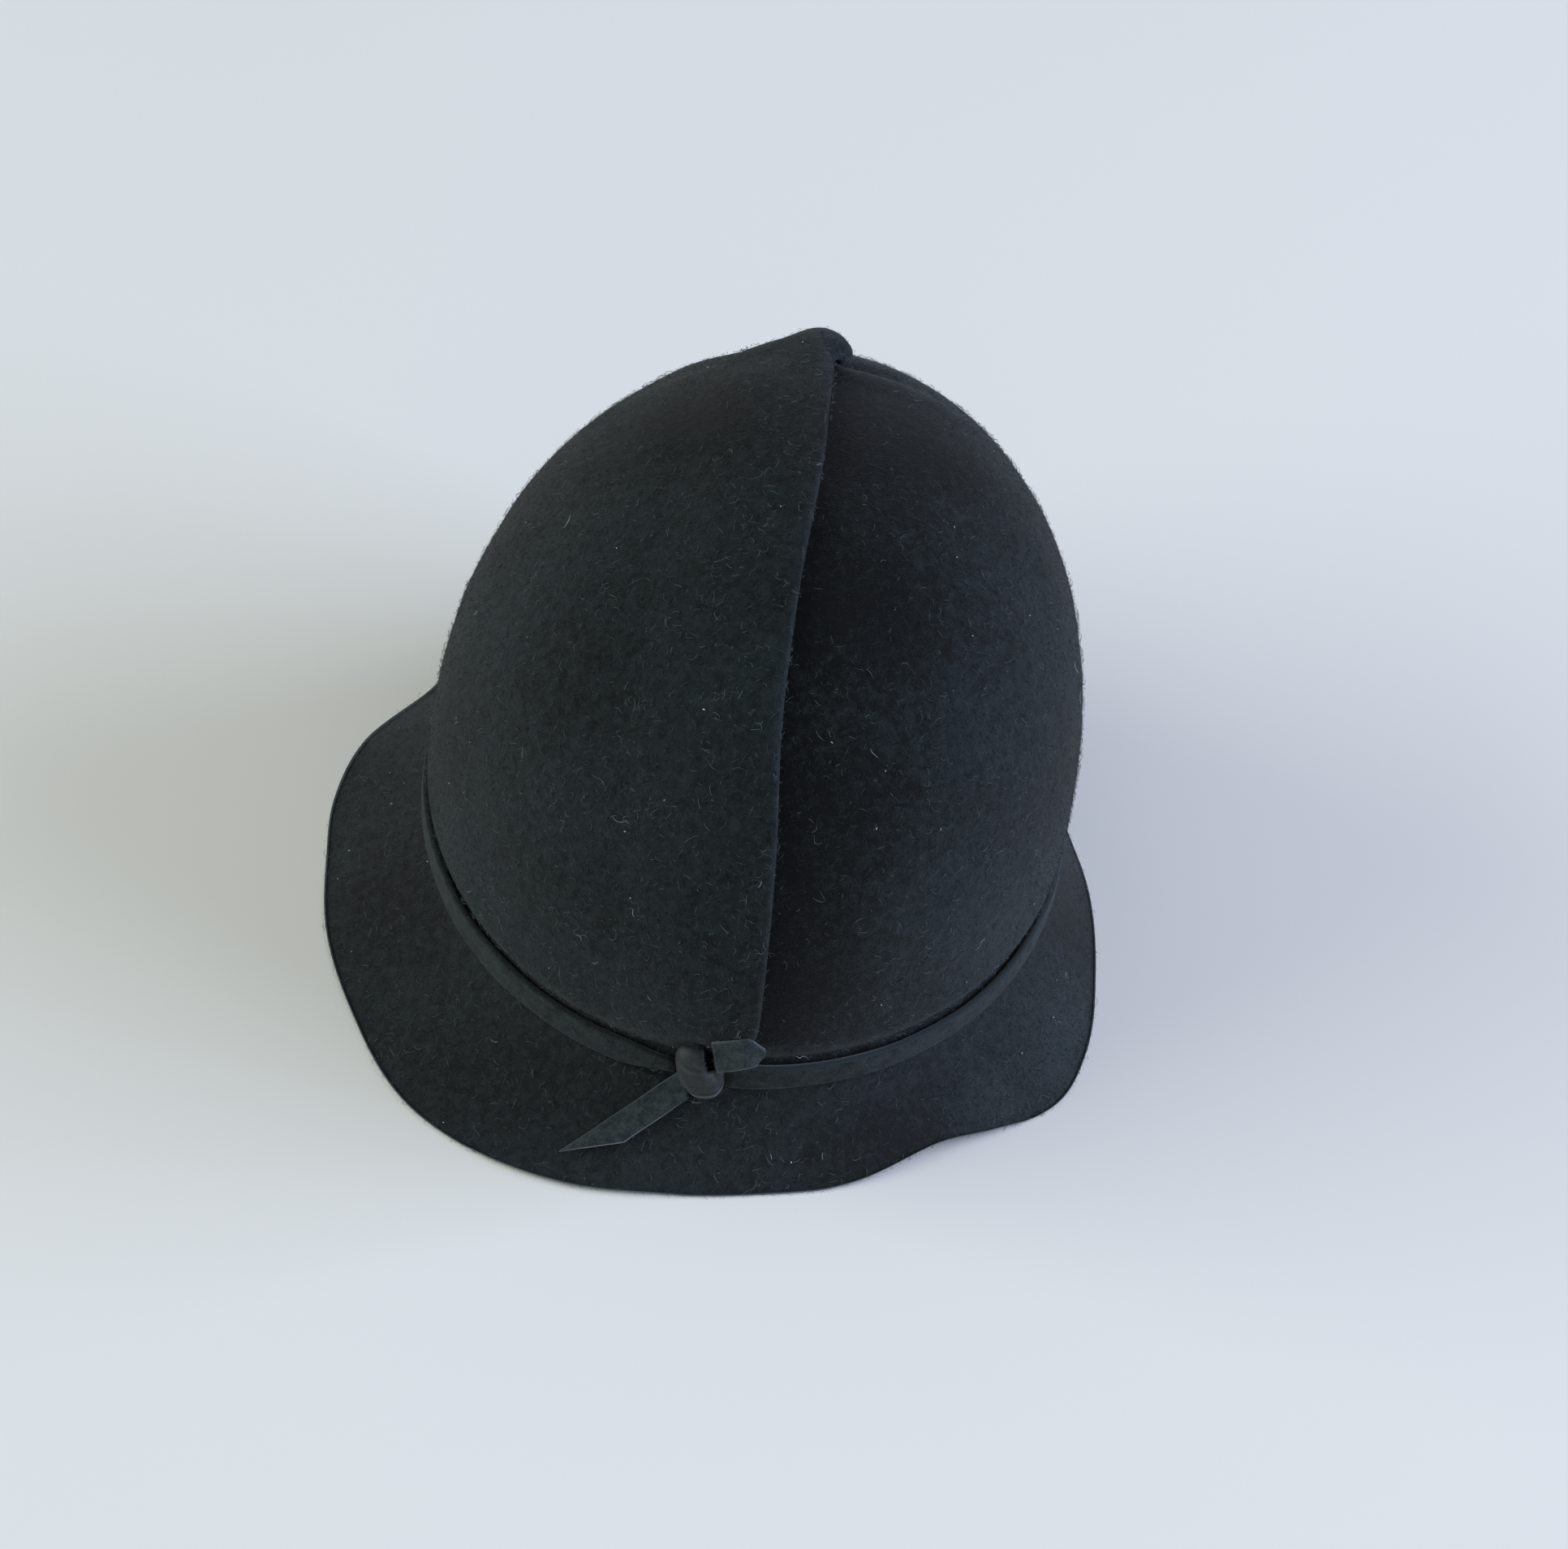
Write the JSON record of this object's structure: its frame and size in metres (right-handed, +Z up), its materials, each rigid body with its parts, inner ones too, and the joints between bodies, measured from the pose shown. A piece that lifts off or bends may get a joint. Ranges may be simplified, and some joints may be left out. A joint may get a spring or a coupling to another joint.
{
  "type": "cloche hat",
  "caption": "Blocked felt cloche hat with a deep crown tucked up the back, a crosswise fold on top, a wavy down-turned brim and a narrow felt strip tied in a knot.",
  "frame": {"origin": "on the resting surface, under the middle of the hat's bounding box", "axes": "+Y towards the front of the hat, +X towards the wearer's right, +Z up through the crown"},
  "size_m": [0.2134, 0.2556, 0.1579],
  "materials": {
    "wool_felt": "black wool felt, matt with a short nap",
    "strip_felt": "strip of the same felt with cut edges"
  },
  "bodies": {
    "root": {"felt_body": "wool_felt", "band_strip": "strip_felt", "knot": "strip_felt", "long_end": "strip_felt", "short_end": "strip_felt"}
  },
  "joints": []
}
